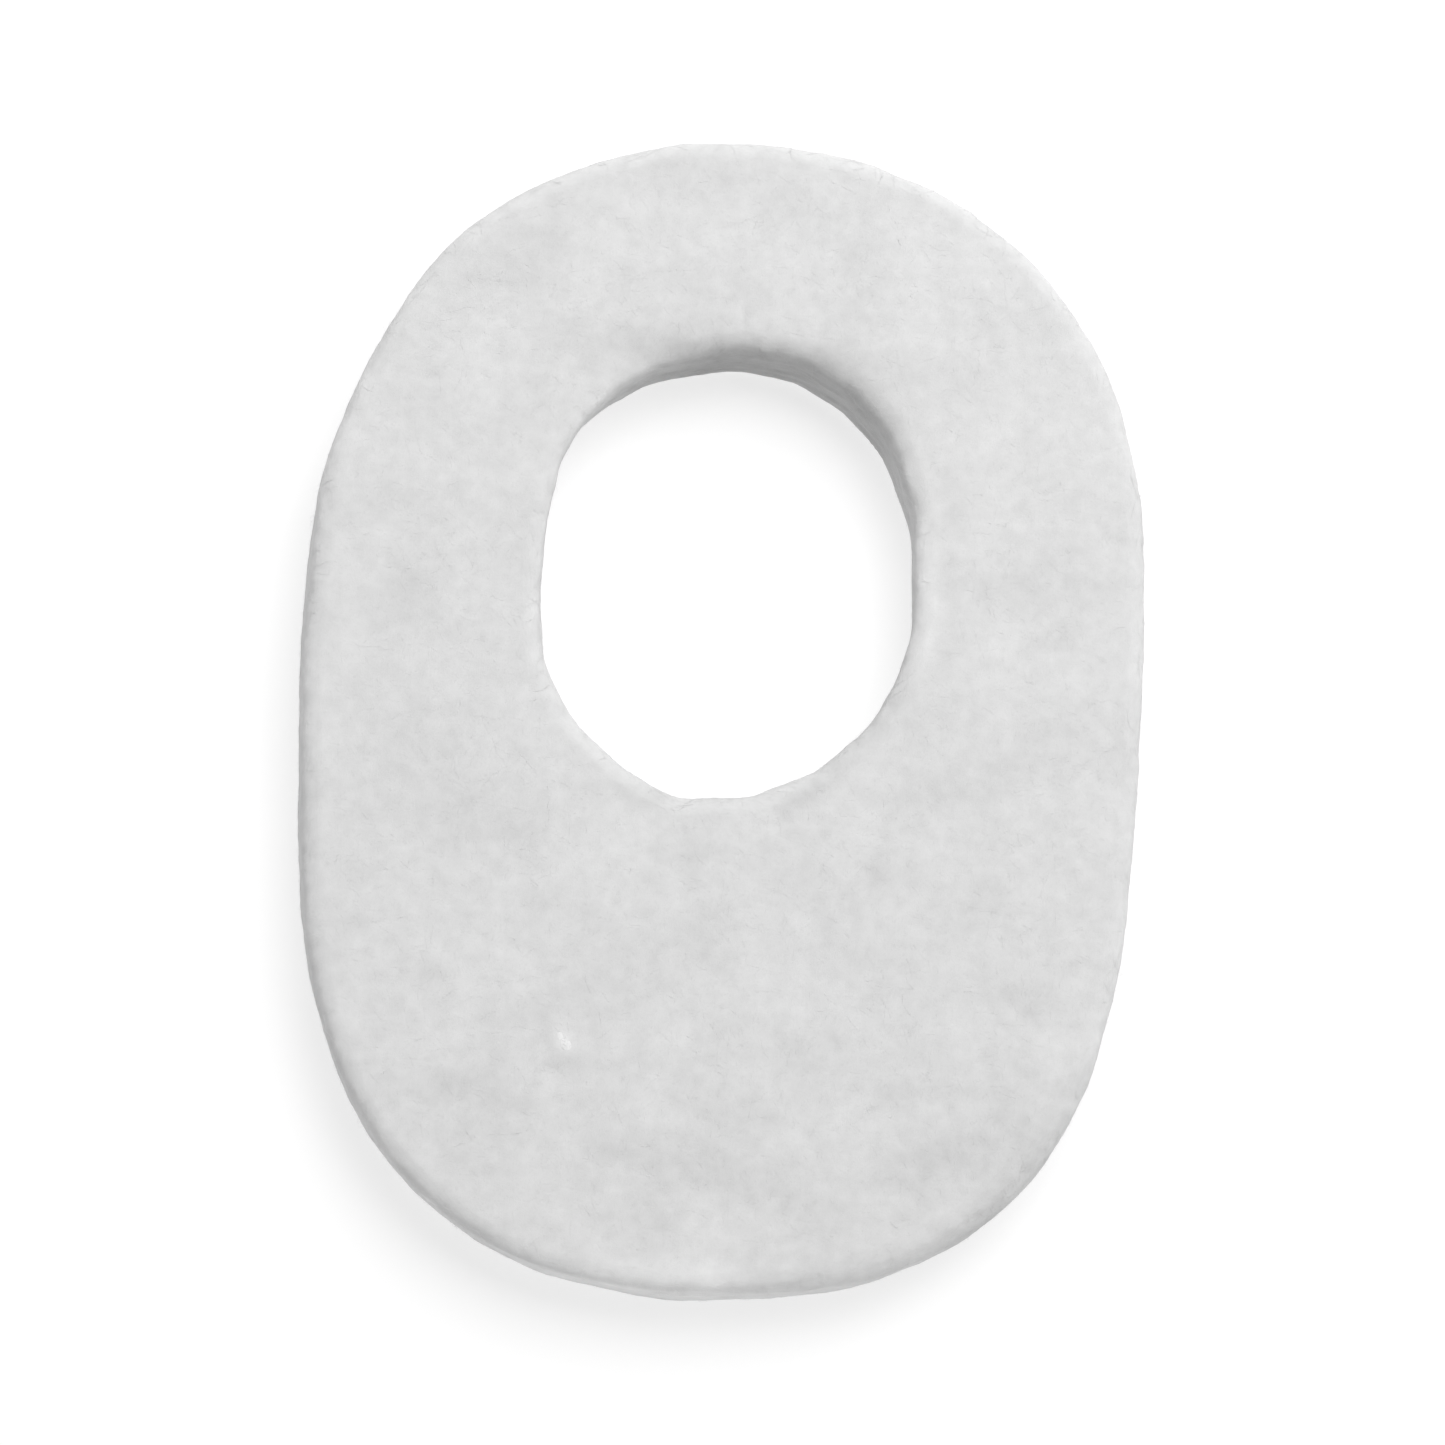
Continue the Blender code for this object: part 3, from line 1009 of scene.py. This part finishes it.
def add_fibres(name, growth, ground=None):
    """Makes one piece of loose fibres on this ground, a mesh that holds the regions, or else on the felt."""
    scene = bpy.context.scene
    ground = ground or bpy.data.objects["felt"].data
    material = bpy.data.materials.get(FIBRE_MATERIAL) or fibre_material(scene.felt_body)
    mesh = with_nodes(
        ground.copy(),
        name,
        felt_fibres_tree(),
        {
            "Region": int(growth.region),
            "Fibres per Area": growth.per_mm2 / MM**2,
            "Length": growth.length,
            "Thickness": scene.felt_fibres.thickness * growth.coarseness,
            "Lift": growth.lift,
            "Wander": growth.wander,
            "Free Ends": growth.free_ends,
            "Lowest": CAD_LOW.z + scene.felt_fibres.thickness / 2,
            "Points": growth.points,
            "Seed": growth.seed,
            "Material": material,
        },
    )
    write_tone(mesh, growth.tone)
    return hand_over(new_object(name, mesh))


def add_knots():
    """Makes the flat knots at the heart of the neps, sunk in the shoe face over half their height."""
    felt_points = rows_of(bpy.data.objects["felt"].data.vertices, "co")
    felt_points = felt_points[felt_points[:, 2] > PAD_THICKNESS / 2]
    work = bmesh.new()
    for nep in NEPS:
        away = felt_points[:, :2] / MM - (nep.x, nep.y)
        surface = float(felt_points[np.argmin((away**2).sum(axis=1)), 2])
        size = Matrix.Diagonal((nep.half_length * MM, nep.half_width * MM, nep.height * MM, 1.0))
        turn = Matrix.Rotation(math.radians(nep.turn_deg), 4, "Z")
        middle = Vector((nep.x * MM, nep.y * MM, surface - NEP_SUNK_SHARE * nep.height * MM))
        bmesh.ops.create_icosphere(
            work, subdivisions=3, radius=1.0, matrix=Matrix.Translation(middle) @ turn @ size
        )
    mesh = mesh_of("nep_knots", work)
    mesh.shade_smooth()
    store(mesh, REGION, "INT", "FACE", np.full(len(mesh.polygons), Region.NEP))
    write_tone(mesh, NEPS[0].tone)
    mesh.materials.append(bpy.data.materials[FIBRE_MATERIAL])
    return hand_over(new_object("nep_knots", mesh))


class FELTPAD_OT_make_nap(bpy.types.Operator):
    """Make the nap: the fibres that lie on the shoe face and the skin face"""

    bl_idname = "feltpad.make_nap"
    bl_label = "Make nap"

    def execute(self, context):
        fibres = context.scene.felt_fibres
        fluffed = Growth(
            region=Region.SHOE_FACE,
            per_mm2=fibres.nap_per_mm2,
            length=fibres.nap_length,
            lift=fibres.nap_lift,
            wander=0.25 * MM,
            free_ends=0.25,
            points=5,
            seed=11,
        )
        pressed = fluffed._replace(
            region=Region.SKIN_FACE,
            per_mm2=PRESSED_NAP_SHARE * fibres.nap_per_mm2,
            lift=PRESSED_NAP_LIFT,
            free_ends=0.0,
            points=4,
            seed=12,
        )
        add_fibres("shoe_face_nap", fluffed)
        add_fibres("skin_face_nap", pressed)
        return {"FINISHED"}


class FELTPAD_OT_make_edge_fuzz(bpy.types.Operator):
    """Make the fuzz: the short cut fibres on the walls of the blank and of the hole"""

    bl_idname = "feltpad.make_edge_fuzz"
    bl_label = "Make edge fuzz"

    def execute(self, context):
        fibres = context.scene.felt_fibres
        blank = Growth(
            region=Region.BLANK_CUT,
            per_mm2=fibres.fuzz_per_mm2,
            length=fibres.fuzz_length,
            lift=fibres.fuzz_lift,
            wander=0.15 * MM,
            free_ends=0.6,
            points=4,
            seed=21,
        )
        add_fibres("blank_edge_fuzz", blank)
        add_fibres("hole_edge_fuzz", blank._replace(region=Region.HOLE_CUT, seed=22))
        return {"FINISHED"}


class FELTPAD_OT_make_hairs(bpy.types.Operator):
    """Make the stray hairs that stand off the shoe face's rims"""

    bl_idname = "feltpad.make_hairs"
    bl_label = "Make stray hairs"

    def execute(self, context):
        fibres = context.scene.felt_fibres
        hairs = Growth(
            region=Region.RIM,
            per_mm2=fibres.hairs_per_mm2,
            length=fibres.hair_length,
            lift=fibres.hair_lift,
            wander=0.3 * MM,
            free_ends=0.5,
            points=6,
            seed=31,
            coarseness=1.5,
        )
        add_fibres("rim_hairs", hairs)
        return {"FINISHED"}


class FELTPAD_OT_make_neps(bpy.types.Operator):
    """Make the neps: the two knots of tangled fibres on the shoe face"""

    bl_idname = "feltpad.make_neps"
    bl_label = "Make neps"

    def execute(self, context):
        knots = add_knots()
        curled = Growth(
            region=Region.NEP,
            per_mm2=90.0,
            length=0.6 * MM,
            lift=0.015 * MM,
            wander=0.15 * MM,
            free_ends=0.3,
            points=6,
            seed=41,
            tone=NEPS[0].tone,
        )
        add_fibres("nep_fibres", curled, knots.data)
        return {"FINISHED"}


class FELTPAD_OT_set_stage(bpy.types.Operator):
    """Set the studio: the floor, the soft light, the even fill and the camera"""

    bl_idname = "feltpad.set_stage"
    bl_label = "Set stage"

    def execute(self, context):
        settings = context.scene.felt_stage
        add_floor(settings)
        key = (settings.key_azimuth, settings.key_elevation)
        add_panel_light("key", key, settings, settings.key_size, settings.key_power)
        low = (settings.low_azimuth, settings.low_elevation)
        add_panel_light("low_fill", low, settings, LOW_PANEL_HEIGHT, settings.low_power)
        set_world(context.scene, settings)
        context.scene.camera = add_camera(settings)
        context.scene.view_settings.view_transform = "Standard"
        return {"FINISHED"}


def add_floor(settings):
    """A round floor, just under the lowest fibre of the skin face."""
    work = bmesh.new()
    bmesh.ops.create_circle(work, cap_ends=True, segments=FLOOR_SIDES, radius=settings.floor_radius)
    mesh = mesh_of("floor", work)
    mesh.transform(Matrix.Translation((0, 0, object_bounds()[0].z - FLOOR_GAP)))
    mesh.materials.append(floor_material(settings))
    new_object("floor", mesh)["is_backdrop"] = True


def add_panel_light(name, direction, settings, height, power):
    """One soft panel of light that faces the pad. Its direction is an azimuth and an elevation."""
    light = bpy.data.lights.new(name, "AREA")
    light.shape = "RECTANGLE"
    light.size = settings.key_size
    light.size_y = height
    light.energy = power
    azimuth, elevation = direction
    level = math.cos(elevation)
    towards = Vector((level * math.cos(azimuth), level * math.sin(azimuth), math.sin(elevation)))
    panel = new_object(name, light)
    panel.location = towards * settings.key_distance
    panel.rotation_euler = towards.to_track_quat("Z", "Y").to_euler()


def set_world(scene, settings):
    """A plain surround that is brighter towards the horizon. The camera sees it as one even pale tone."""
    world = bpy.data.worlds.new("studio")
    world.use_nodes = True
    tree = world.node_tree
    tree.nodes.clear()
    direction = out(tree, "ShaderNodeTexCoord", output="Generated")
    height = maths(tree, "ABSOLUTE", out(tree, "ShaderNodeSeparateXYZ", {"Vector": direction}, output="Z"))
    near_horizon = maths(tree, "POWER", maths(tree, "SUBTRACT", 1.0, height), HORIZON_NARROWNESS)
    light = maths(tree, "MULTIPLY_ADD", near_horizon, settings.horizon_strength, settings.fill_strength)
    seen = out(tree, "ShaderNodeLightPath", output="Is Camera Ray")
    strength = mix(tree, seen, light, SURROUND_AS_SEEN)
    background = out(tree, "ShaderNodeBackground", {"Color": (1.0, 1.0, 1.0, 1.0), "Strength": strength})
    add(tree, "ShaderNodeOutputWorld", {"Surface": background})
    scene.world = world


def add_camera(settings):
    """The photograph's view: from high over the lower left, with +Y up the picture."""
    level = math.cos(settings.camera_elevation)
    back = Vector(
        (
            -level * math.sin(settings.camera_azimuth),
            -level * math.cos(settings.camera_azimuth),
            math.sin(settings.camera_elevation),
        )
    )
    right = Vector((0, 1, 0)).cross(back).normalized()
    up = back.cross(right)
    data = bpy.data.cameras.new("camera")
    data.lens = data.sensor_width * settings.camera_distance / settings.view_width
    data.clip_start = 0.01
    data.clip_end = 10.0
    camera = new_object("camera", data)
    place = Vector(settings.look_at) + back * settings.camera_distance
    turned = Matrix((right, up, back)).transposed().to_4x4()
    camera.matrix_world = Matrix.Translation(place) @ turned
    return camera


class FELTPAD_PT_panel(bpy.types.Panel):
    """Lists the settings and the operators of the felt pad"""

    bl_idname = "FELTPAD_PT_panel"
    bl_label = "Felt Pad"
    bl_space_type = "VIEW_3D"
    bl_region_type = "UI"
    bl_category = "Felt Pad"

    def draw(self, context):
        for title in SETTINGS:
            group = getattr(context.scene, title)
            box = self.layout.box()
            box.label(text=title.replace("_", " ").capitalize())
            for name in group.bl_rna.properties.keys():
                if name not in ("rna_type", "name"):
                    box.prop(group, name)
        for operator in OPERATORS:
            self.layout.operator(operator.bl_idname)


SETTINGS = {
    "felt_body": FeltBodySettings,
    "felt_fibres": FeltFibreSettings,
    "felt_stage": FeltStageSettings,
}
OPERATORS = (
    FELTPAD_OT_make_body,
    FELTPAD_OT_make_nap,
    FELTPAD_OT_make_edge_fuzz,
    FELTPAD_OT_make_hairs,
    FELTPAD_OT_make_neps,
    FELTPAD_OT_set_stage,
)


def register():
    for kind in (*SETTINGS.values(), *OPERATORS, FELTPAD_PT_panel):
        bpy.utils.register_class(kind)
    for name, kind in SETTINGS.items():
        setattr(bpy.types.Scene, name, PointerProperty(type=kind))


def unregister():
    for name in SETTINGS:
        delattr(bpy.types.Scene, name)
    for kind in reversed((*SETTINGS.values(), *OPERATORS, FELTPAD_PT_panel)):
        bpy.utils.unregister_class(kind)


def main():
    """Makes the pad and its studio."""
    register()
    bpy.ops.feltpad.make_body()
    bpy.ops.feltpad.make_nap()
    bpy.ops.feltpad.make_edge_fuzz()
    bpy.ops.feltpad.make_hairs()
    bpy.ops.feltpad.make_neps()
    bpy.ops.feltpad.set_stage()


if __name__ == "__main__":
    main()
